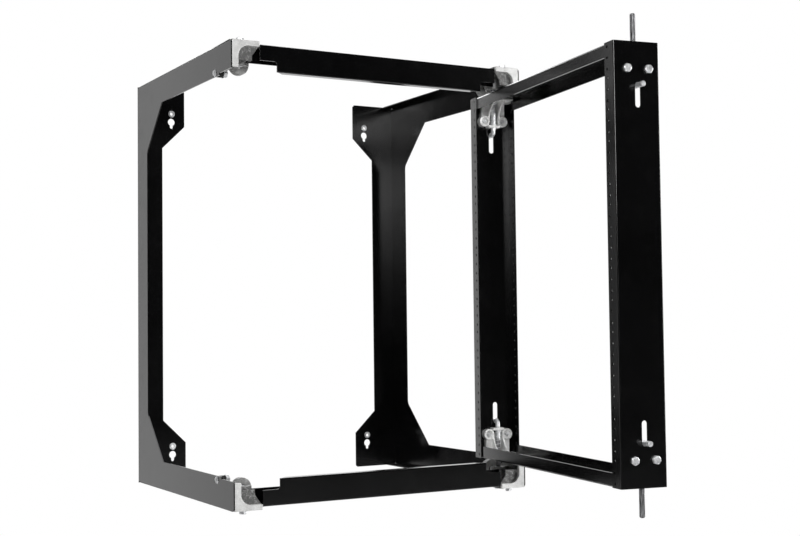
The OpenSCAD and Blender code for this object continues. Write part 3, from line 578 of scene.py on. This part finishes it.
# A Geometry Nodes tree with named inputs, put together through the same add.
class Shapes(Graph):
    def __init__(self, name, inputs):
        self.tree = bpy.data.node_groups.new(name, "GeometryNodeTree")
        super().__init__(self.tree)
        face = self.tree.interface
        face.new_socket(name="Places", in_out="INPUT", socket_type="NodeSocketGeometry")
        for label, value in inputs.items():
            kind = "NodeSocketInt" if isinstance(value, int) else "NodeSocketFloat"
            face.new_socket(name=label, in_out="INPUT", socket_type=kind).default_value = value
        face.new_socket(name="Material", in_out="INPUT", socket_type="NodeSocketMaterial")
        face.new_socket(name="Shapes", in_out="OUTPUT", socket_type="NodeSocketGeometry")
        self.entry = self.nodes.new("NodeGroupInput")
        self.exit = self.nodes.new("NodeGroupOutput")

    def given(self, label):
        return Flow(self, self.entry.outputs[label])

    def triple(self, x, y, z):
        return self.add("ShaderNodeCombineXYZ", {}, {0: x, 1: y, 2: z})

    def moved(self, shape, x, y, z, turn=(0, 0, 0), scale=(1, 1, 1)):
        return self.add("GeometryNodeTransform", {},
                        {"Geometry": shape, "Translation": self.triple(x, y, z), "Rotation": turn,
                         "Scale": scale})

    def drum(self, sides, low, high, lowRadius, highRadius):
        cone = self.add("GeometryNodeMeshCone", {"fill_type": "NGON"},
                        {"Vertices": sides, "Radius Top": highRadius, "Radius Bottom": lowRadius,
                         "Depth": high - low}, "Mesh")
        return self.moved(cone, 0.0, 0.0, low)

    def common(self, *shapes):
        return self.add("GeometryNodeMeshBoolean", {"operation": "INTERSECT", "solver": "EXACT"},
                        {"Mesh 2": list(shapes)}, "Mesh")

    def without(self, shape, *cutters):
        return self.add("GeometryNodeMeshBoolean", {"operation": "DIFFERENCE", "solver": "EXACT"},
                        {"Mesh 1": shape, "Mesh 2": list(cutters)}, "Mesh")

    def joined(self, *shapes):
        return self.add("GeometryNodeJoinGeometry", {}, {"Geometry": list(shapes)})

    def wire(self, curve, sides, radius):
        profile = self.add("GeometryNodeCurvePrimitiveCircle", {"mode": "RADIUS"},
                           {"Resolution": sides, "Radius": radius})
        return self.add("GeometryNodeCurveToMesh", {},
                        {"Curve": curve, "Profile Curve": profile, "Fill Caps": True})

    # A ridge wound round the z axis between two heights
    def thread(self, low, high, radius, pitch, ridge):
        coil = self.add("GeometryNodeCurveSpiral", {},
                        {"Resolution": 24, "Rotations": (high - low) / pitch, "Start Radius": radius,
                         "End Radius": radius, "Height": high - low, "Reverse": False})
        return self.moved(self.wire(coil, 3, ridge), 0.0, 0.0, low)

    def finish(self, shape, turning=True):
        aim = self.add("GeometryNodeInputNamedAttribute", {"data_type": "FLOAT_VECTOR"}, {"Name": "aim"})
        heading = self.add("FunctionNodeAlignRotationToVector", {"axis": "Z"}, {"Vector": aim})
        placed = self.add("GeometryNodeInstanceOnPoints", {},
                          {"Points": self.given("Places"), "Instance": shape, "Rotation": heading})
        if turning:
            chance = self.add("FunctionNodeRandomValue", {"data_type": "FLOAT"},
                              {2: 0.0, 3: 2 * math.pi, "Seed": self.given("Seed")}, 1)
            placed = self.add("GeometryNodeRotateInstances", {},
                              {"Instances": placed, "Rotation": self.triple(0.0, 0.0, chance)})
        real = self.add("GeometryNodeRealizeInstances", {}, {"Geometry": placed})
        last = self.add("GeometryNodeSetMaterial", {},
                        {"Geometry": real, "Material": self.given("Material")})
        self.links.new(last.socket, self.exit.inputs["Shapes"])
        return self.tree


# Shapes of the fasteners, as shares of their flats, heads, shanks and wires
fastenerShape = {
    "hexCorner": 0.57735,  # a hexagon's corner radius over its flats
    "chamfer": 1.73,
    "boltCrown": 0.46,
    "nutCrown": 0.47,
    "nutFoot": 0.48,
    "dish": (0.30, 0.36),
    "washerTop": 0.94,
    "core": (0.86, 0.88),
    "ridgeFrom": 0.98,
    "ridgeTo": 0.02,
    "ridgeSeat": 0.90,
    "ridge": 0.10,
    "springPoints": 260,
    "springGap": 2.04,  # pitch of the closed end turns, in wire radii
    "springEnds": 6.08,  # what the end turns take of the length, in wire radii
}


# The shank of a bolt below its head: a core with a thread wound on it
def shank(s):
    shape = fastenerShape
    radius, reach = s.given("Shank Radius"), s.given("Shank Length")
    low, high = shape["core"]
    core = s.drum(24, -reach, 0.0 * reach, radius * low, radius * high)
    ridge = s.thread(-reach * shape["ridgeFrom"], -reach * shape["ridgeTo"], radius * shape["ridgeSeat"],
                     s.given("Thread Pitch"), radius * shape["ridge"])
    return core, ridge


def hexBoltTree():
    shape = fastenerShape
    s = Shapes("hexBolt", {"Across Flats": 0.0111, "Head Height": 0.0042, "Shank Radius": 0.003175,
                           "Shank Length": 0.014, "Thread Pitch": 0.0011, "Flange Radius": 0.0055,
                           "Flange Height": 0.0004, "Dish Depth": 0.0004, "Seed": 1})
    flats, high = s.given("Across Flats"), s.given("Head Height")
    ground = 0.0 * high
    corner = flats * shape["hexCorner"]
    prism = s.drum(6, ground, high, corner, corner)
    crown = s.drum(48, ground, high, flats * shape["boltCrown"] + high * shape["chamfer"],
                   flats * shape["boltCrown"])
    dish = s.drum(32, high - s.given("Dish Depth"), high * 1.2, *[flats * share for share in shape["dish"]])
    head = s.without(s.common(prism, crown), dish)
    rim = s.given("Flange Radius")
    washer = s.drum(40, ground, s.given("Flange Height"), rim, rim * shape["washerTop"])
    return s.finish(s.joined(head, washer, *shank(s)))


def roundBoltTree():
    s = Shapes("roundBolt", {"Head Radius": 0.0062, "Head Height": 0.003, "Shank Radius": 0.003175,
                             "Shank Length": 0.02, "Thread Pitch": 0.0011, "Recess Width": 0.0012,
                             "Recess Length": 0.0044, "Recess Depth": 0.0012, "Seed": 2})
    wide, high = s.given("Head Radius"), s.given("Head Height")
    ball = (wide * wide + high * high) / (high * 2.0)
    sphere = s.add("GeometryNodeMeshUVSphere", {}, {"Segments": 48, "Rings": 48, "Radius": ball}, "Mesh")
    dome = s.common(s.moved(sphere, 0.0, 0.0, high - ball), s.drum(48, 0.0 * high, high * 1.1, wide, wide))
    depth = s.given("Recess Depth")
    size = s.triple(s.given("Recess Length"), s.given("Recess Width"), depth * 2.0)
    bar = s.add("GeometryNodeMeshCube", {}, {"Size": size}, "Mesh")
    across = s.moved(bar, 0.0, 0.0, high)
    upright = s.moved(bar, 0.0, 0.0, high, turn=(0, 0, math.pi / 2))
    head = s.without(dome, across, upright)
    return s.finish(s.joined(head, *shank(s)))


def hexNutTree():
    s = Shapes("hexNut", {"Across Flats": 0.0111, "Height": 0.0056, "Bore Radius": 0.0032, "Seed": 3})
    shape = fastenerShape
    flats, high = s.given("Across Flats"), s.given("Height")
    ground, slope = 0.0 * high, high * shape["chamfer"]
    corner, top, foot = (flats * shape[key] for key in ("hexCorner", "nutCrown", "nutFoot"))
    prism = s.drum(6, ground, high, corner, corner)
    crown = s.drum(48, ground, high, top + slope, top)
    base = s.drum(48, ground, high, foot, foot + slope)
    bore = s.drum(32, high * -0.1, high * 1.1, s.given("Bore Radius"), s.given("Bore Radius"))
    return s.finish(s.without(s.common(prism, crown, base), bore))


def springTree():
    s = Shapes("closedSpring", {"Length": 0.037, "Mean Radius": 0.0054, "Wire Radius": 0.0006,
                                "Turns": 7.0, "Seed": 4})
    shape = fastenerShape
    reach, turns, wire = s.given("Length"), s.given("Turns"), s.given("Wire Radius")
    line = s.add("GeometryNodeCurvePrimitiveLine", {"mode": "POINTS"}, {"Start": (0, 0, 0), "End": (0, 0, 1)})
    fine = s.add("GeometryNodeResampleCurve", {"mode": "COUNT"},
                 {"Curve": line, "Count": shape["springPoints"]})
    share = s.add("GeometryNodeSplineParameter", {}, {}, "Factor")
    angle = share * turns * (2 * math.pi)
    closed = 1 / turns  # share of the wire in one closed end turn
    ends = (share.least(closed) + (share - (1 - closed)).most(0.0)) * turns * wire * shape["springGap"]
    free = ((share - closed) / (1 - closed * 2.0)).held()
    height = wire + ends + free * (reach - wire * shape["springEnds"])
    radius = s.given("Mean Radius")
    place = s.triple(angle.math("COSINE") * radius, angle.math("SINE") * radius, height)
    coil = s.add("GeometryNodeSetPosition", {}, {"Geometry": fine, "Position": place})
    wound = s.wire(coil, 10, wire)
    smooth = s.add("GeometryNodeSetShadeSmooth", {}, {"Geometry": wound, "Shade Smooth": True})
    return s.finish(smooth)


def tappedHoleTree():
    s = Shapes("tappedHole", {"Radius": 0.0021, "Depth": 0.002, "Thread Pitch": 0.00079,
                              "Ridge": 0.00016, "Seed": 5})
    deep = s.given("Depth")
    ridge = s.thread(deep * -0.94, deep * -0.06, s.given("Radius"), s.given("Thread Pitch"),
                     s.given("Ridge"))
    return s.finish(ridge)


gateTurn = math.radians(-joints["gate_swing"]["range_deg"][0])  # from closed to how the gate rests
hinge = Vector(joints["gate_swing"]["pos_m"])
toGate = Matrix.Rotation(-gateTurn, 4, "Z") @ Matrix.Translation(-hinge)
toWorld = toGate.inverted()


# Boxes of a node's separate solids, in the frame's or the gate's own directions
def solidBoxes(nodeName, turned=False):
    work = bmesh.new()
    work.from_mesh(cadNodes[nodeName].data)
    bmesh.ops.remove_doubles(work, verts=work.verts, dist=edgeLook["weld"])
    seen = set()
    boxes = []
    for first in work.verts:
        if first in seen:
            continue
        seen.add(first)
        waiting = [first]
        points = []
        while waiting:
            vert = waiting.pop()
            points.append(toGate @ vert.co if turned else vert.co.copy())
            for edge in vert.link_edges:
                other = edge.other_vert(vert)
                if other not in seen:
                    seen.add(other)
                    waiting.append(other)
        low = Vector([min(point[axis] for point in points) for axis in range(3)])
        high = Vector([max(point[axis] for point in points) for axis in range(3)])
        boxes.append((low, high))
    work.free()
    return boxes


def scatter(name, tree, places, values, material, seed):
    mesh = bpy.data.meshes.new(name + "Places")
    mesh.from_pydata([place for place, aim in places], [], [])
    aims = mesh.attributes.new("aim", "FLOAT_VECTOR", "POINT")
    for row, (place, aim) in enumerate(places):
        aims.data[row].vector = aim
    obj = addObject(name, mesh)
    modifier = obj.modifiers.new("shapes", "NODES")
    modifier.node_group = tree
    given = dict(values, Material=material, Seed=seed)
    for item in tree.interface.items_tree:
        if item.item_type == "SOCKET" and item.in_out == "INPUT" and item.name in given:
            modifier[item.identifier] = given[item.name]
    return bake(obj)


# Seats of bolts whose heads point away from a middle along one direction
def seats(boxes, axis, middle, headHeight, turned=False):
    places = []
    for low, high in boxes:
        centre = (low + high) / 2
        sign = 1 if centre[axis] > middle else -1
        centre[axis] = (high[axis] if sign > 0 else low[axis]) - sign * headHeight
        aim = Vector((0, 0, 0))
        aim[axis] = sign
        if turned:
            centre = toWorld @ centre
            aim = toWorld.to_3x3() @ aim
        places.append((centre, aim))
    return places


# Fixed seeds of the turns of what repeats; the springs' seeds count up from theirs
seeds = {"hexBolts": 11, "frameScrews": 12, "stopBolts": 13, "stopNuts": 14, "gateScrews": 15, "threads": 21,
         "springs": 30}

# Metres, apart from the number of turns
fastenerSize = {
    "hexFlats": 0.0111, "hexHead": 0.0042,
    "flangeFlats": 0.0100, "flangeHead": 0.0066, "flangeRadius": 0.0064, "flangeHeight": 0.0014,
    "flangeShank": 0.003, "flangeDish": 0.0008,
    "roundHead": 0.003, "roundRecess": 0.00002,
    "screwHead": 0.0018, "screwHeadRadius": 0.004, "screwShank": 0.0021, "screwRecess": 0.0010,
    "screwPitch": 0.0008,
    "wire": 0.00055, "springTurns": 7.0,
    "holeRadius": 0.0021, "sheet": 0.002, "threadPitch": 0.00079,
    "unit": 0.04445, "unitHoles": (0.00635, 0.022225, 0.0381),
}


def fasteners():
    size = fastenerSize
    hingeSide = solidBoxes("hinge_upright", True)[0]
    latchSide = solidBoxes("latch_upright", True)[0]
    gateMiddle = (hingeSide[1].x + latchSide[0].x) / 2
    middleHeight = (hingeSide[0].z + hingeSide[1].z) / 2

    boxes = solidBoxes("gate_hex_bolts", True)
    reach = boxes[0][1].x - boxes[0][0].x - size["hexHead"]
    bolts = scatter("gate_hex_bolts_turned", hexBoltTree(),
                    seats(boxes, 0, gateMiddle, size["hexHead"], True),
                    {"Across Flats": size["hexFlats"], "Head Height": size["hexHead"], "Shank Length": reach},
                    zincPlate, seeds["hexBolts"])
    stand(bolts, ["gate_hex_bolts"], "gate")

    boxes = solidBoxes("frame_screws")
    reach = boxes[0][1].z - boxes[0][0].z - size["flangeHead"]
    screws = scatter("frame_screws_turned", bpy.data.node_groups["hexBolt"],
                     seats(boxes, 2, 0.0, size["flangeHead"]),
                     {"Across Flats": size["flangeFlats"], "Head Height": size["flangeHead"],
                      "Flange Radius": size["flangeRadius"], "Flange Height": size["flangeHeight"],
                      "Shank Radius": size["flangeShank"], "Shank Length": reach,
                      "Dish Depth": size["flangeDish"]}, zincPlate, seeds["frameScrews"])
    stand(screws, ["frame_screws"], "wall_frame")

    boxes = solidBoxes("stop_bolts")
    reach = boxes[0][1].x - boxes[0][0].x - size["roundHead"]
    stops = scatter("stop_bolts_turned", roundBoltTree(), seats(boxes, 0, 0.0, size["roundHead"]),
                    {"Head Height": size["roundHead"], "Shank Length": reach,
                     "Recess Depth": size["roundRecess"]}, zincPlate, seeds["stopBolts"])
    stand(stops, ["stop_bolts"], "wall_frame")

    boxes = solidBoxes("stop_nuts")
    nutHeight = boxes[0][1].x - boxes[0][0].x
    places = [(place, -aim) for place, aim in seats(boxes, 0, 0.0, 0.0)]
    nuts = scatter("stop_nuts_turned", hexNutTree(), places, {"Height": nutHeight}, zincPlate,
                   seeds["stopNuts"])
    stand(nuts, ["stop_nuts"], "wall_frame")

    boxes = solidBoxes("gate_screws", True)
    reach = boxes[0][1].z - boxes[0][0].z - size["screwHead"]
    screws = scatter("gate_screws_turned", bpy.data.node_groups["roundBolt"],
                     seats(boxes, 2, middleHeight, size["screwHead"], True),
                     {"Head Radius": size["screwHeadRadius"], "Head Height": size["screwHead"],
                      "Shank Radius": size["screwShank"], "Shank Length": reach,
                      "Recess Depth": size["screwRecess"], "Thread Pitch": size["screwPitch"]},
                     zincPlate, seeds["gateScrews"])
    stand(screws, ["gate_screws"], "gate")


def springs():
    tree = springTree()
    for row, corner in enumerate(cornerNames):
        low, high = (Vector(point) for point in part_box(corner + "_spring"))
        wire = fastenerSize["wire"]
        top = corner.startswith("top")
        seat = Vector(((low.x + high.x) / 2, (low.y + high.y) / 2, low.z if top else high.z))
        aim = Vector((0, 0, 1 if top else -1))
        reach = high.z - low.z
        coil = scatter(corner + "_spring_wound", tree, [(seat, aim)],
                       {"Length": reach, "Mean Radius": (high.x - low.x) / 2 - wire, "Wire Radius": wire,
                        "Turns": fastenerSize["springTurns"]}, zincPlate, seeds["springs"] + row)
        stand(coil, [corner + "_spring"], "gate")
        slide = joints[corner + "_pin_slide"]
        travel = slide["range_m"][1]
        (reach - travel) / reach
        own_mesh(coil)


# Threads of the rack holes, three to a unit, between the stated end holes of each rail
def railThreads():
    size = fastenerSize
    tree = tappedHoleTree()
    places = []
    mounts = {mount["name"]: mount for mount in frame["record"]["mounts"]}
    for face in ["front", "rear"]:
        for side in ["hinge", "latch"]:
            top, bottom = (mounts["_".join(["rail", face, side, end])] for end in ("top", "bottom"))
            aim = Vector(top["axis"])
            start = Vector(bottom["pos_m"])
            units = round((top["pos_m"][2] - start.z + size["unitHoles"][0] * 2) / size["unit"])
            for unit in range(units):
                for offset in size["unitHoles"]:
                    rise = unit * size["unit"] + offset - size["unitHoles"][0]
                    places.append((start + Vector((0, 0, rise)), aim))
    threads = scatter("rail_threads", tree, places,
                      {"Radius": size["holeRadius"], "Depth": size["sheet"],
                       "Thread Pitch": size["threadPitch"]}, tappedThread, seeds["threads"])
    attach(threads, "gate")


print("fasteners")
fasteners()
print("springs")
springs()
print("rail threads")
railThreads()


def placeCamera():
    look = photoCamera
    yaw, pitch, roll = (math.radians(look[key]) for key in ("yaw", "pitch", "roll"))
    forward = Vector((math.sin(yaw) * math.cos(pitch), math.cos(yaw) * math.cos(pitch), math.sin(pitch)))
    level = Vector((math.cos(yaw), -math.sin(yaw), 0))
    upright = level.cross(forward)
    right = level * math.cos(roll) + upright * math.sin(roll)
    up = upright * math.cos(roll) - level * math.sin(roll)
    data = bpy.data.cameras.new("photoCamera")
    data.lens = look["lens"]
    data.sensor_width = look["sensor"]
    data.sensor_fit = "HORIZONTAL"
    data.clip_start, data.clip_end = look["clip"]
    camera = addObject("photoCamera", data)
    turn = Matrix((right, up, -forward)).transposed().to_4x4()
    camera.matrix_world = Matrix.Translation(Vector(look["place"])) @ turn
    bpy.context.scene.camera = camera


def addLamp(name, place, aim, size, power):
    data = bpy.data.lights.new(name, "AREA")
    data.shape = "RECTANGLE"
    data.size, data.size_y = size
    data.energy = power
    lamp = addObject(name, data)
    lamp.rotation_mode = "QUATERNION"
    lamp.rotation_quaternion = (Vector(aim) - Vector(place)).to_track_quat("-Z", "Y")
    lamp.location = place


# The camera sees white paper, glossy surfaces see the backdrop as a bright wall
def makePaper(name, seenInMirrors):
    f = Finish(name)
    camera, glossy = f.ray("Is Camera Ray"), f.ray("Is Glossy Ray")
    f.surface({"Base Color": studio["paper"], "Roughness": 0.9})
    fibre = f.noise(14, 2.0)
    white = f.colours(fibre * 0.02, (1, 1, 1, 1), (0.97, 0.97, 0.97, 1))
    plain = f.add("ShaderNodeEmission", {}, {"Color": white, "Strength": studio["paperGlow"]})
    near, far = studio["mirrorGlow"]
    glow = f.axis("X").between(*studio["mirrorFrom"]) * (far - near) + near
    bright = f.add("ShaderNodeEmission", {}, {"Color": white, "Strength": glow})
    base = Flow(f, f.shader.outputs["BSDF"])
    if seenInMirrors:
        base = f.add("ShaderNodeMixShader", {}, {0: glossy, 1: base, 2: bright})
    f.put(f.output, {"Surface": f.add("ShaderNodeMixShader", {}, {0: camera, 1: base, 2: plain})})
    return f.material


def makeStage():
    look = studio
    low = cadBox[0][2] - look["floorDrop"]
    back = look["wallBehind"]
    reach = look["reach"]
    steps = look["cornerSteps"]
    radius = look["cornerRadius"]
    angles = [math.radians(90 * k / steps) for k in range(steps + 1)]
    curve = [(back - radius + radius * math.sin(angle), low + radius - radius * math.cos(angle))
             for angle in angles]
    outlines = {
        "floor": ([(-reach, low), (back - radius, low)], makePaper("floorPaper", False)),
        "backdrop": (curve + [(back, low + look["wallHeight"])], makePaper("backdropPaper", True)),
    }
    for name, (outline, finish) in outlines.items():
        mesh = bpy.data.meshes.new(name)
        points = [(x, y, z) for y, z in outline for x in (-reach, reach)]
        faces = [(2 * k, 2 * k + 1, 2 * k + 3, 2 * k + 2) for k in range(len(outline) - 1)]
        mesh.from_pydata(points, [], faces)
        mesh.materials.append(finish)
        addObject(name, mesh)


# Only glossy surfaces see this dark panel, which keeps the gate's far end black
def makeFlag():
    f = Finish("flagCloth")
    weave = f.colours(f.noise(600, 2.0), (0, 0, 0, 1), (0.004, 0.004, 0.004, 1))
    dark = f.add("ShaderNodeBsdfDiffuse", {}, {"Color": weave})
    clear = f.add("ShaderNodeBsdfTransparent", {}, {})
    seen = f.add("ShaderNodeMixShader", {}, {0: f.ray("Is Glossy Ray"), 1: clear, 2: dark})
    f.put(f.output, {"Surface": seen})
    left, right, tall, place = studio["flag"]
    mesh = bpy.data.meshes.new("flag")
    corners = [(left, -tall), (right, -tall), (right, tall), (left, tall)]
    mesh.from_pydata([(x, place, z) for x, z in corners], [], [(0, 1, 2, 3)])
    mesh.materials.append(f.material)
    addObject("flag", mesh)


def makeAir():
    world = bpy.data.worlds.new("studioAir")
    bpy.context.scene.world = world
    world.use_nodes = True
    air = Graph(world.node_tree)
    strength = air.add("ShaderNodeMix", {"data_type": "FLOAT"},
                       {0: air.ray("Is Camera Ray"), 2: studio["air"], 3: 1.0})
    air.put(air.nodes["Background"], {"Color": (1, 1, 1, 1), "Strength": strength})


print("camera and studio")
placeCamera()
makeStage()
makeFlag()
makeAir()
for lampName, (place, aim, size, power) in studio["lamps"].items():
    addLamp(lampName, place, aim, size, power)
bpy.context.scene.view_settings.view_transform = "Standard"
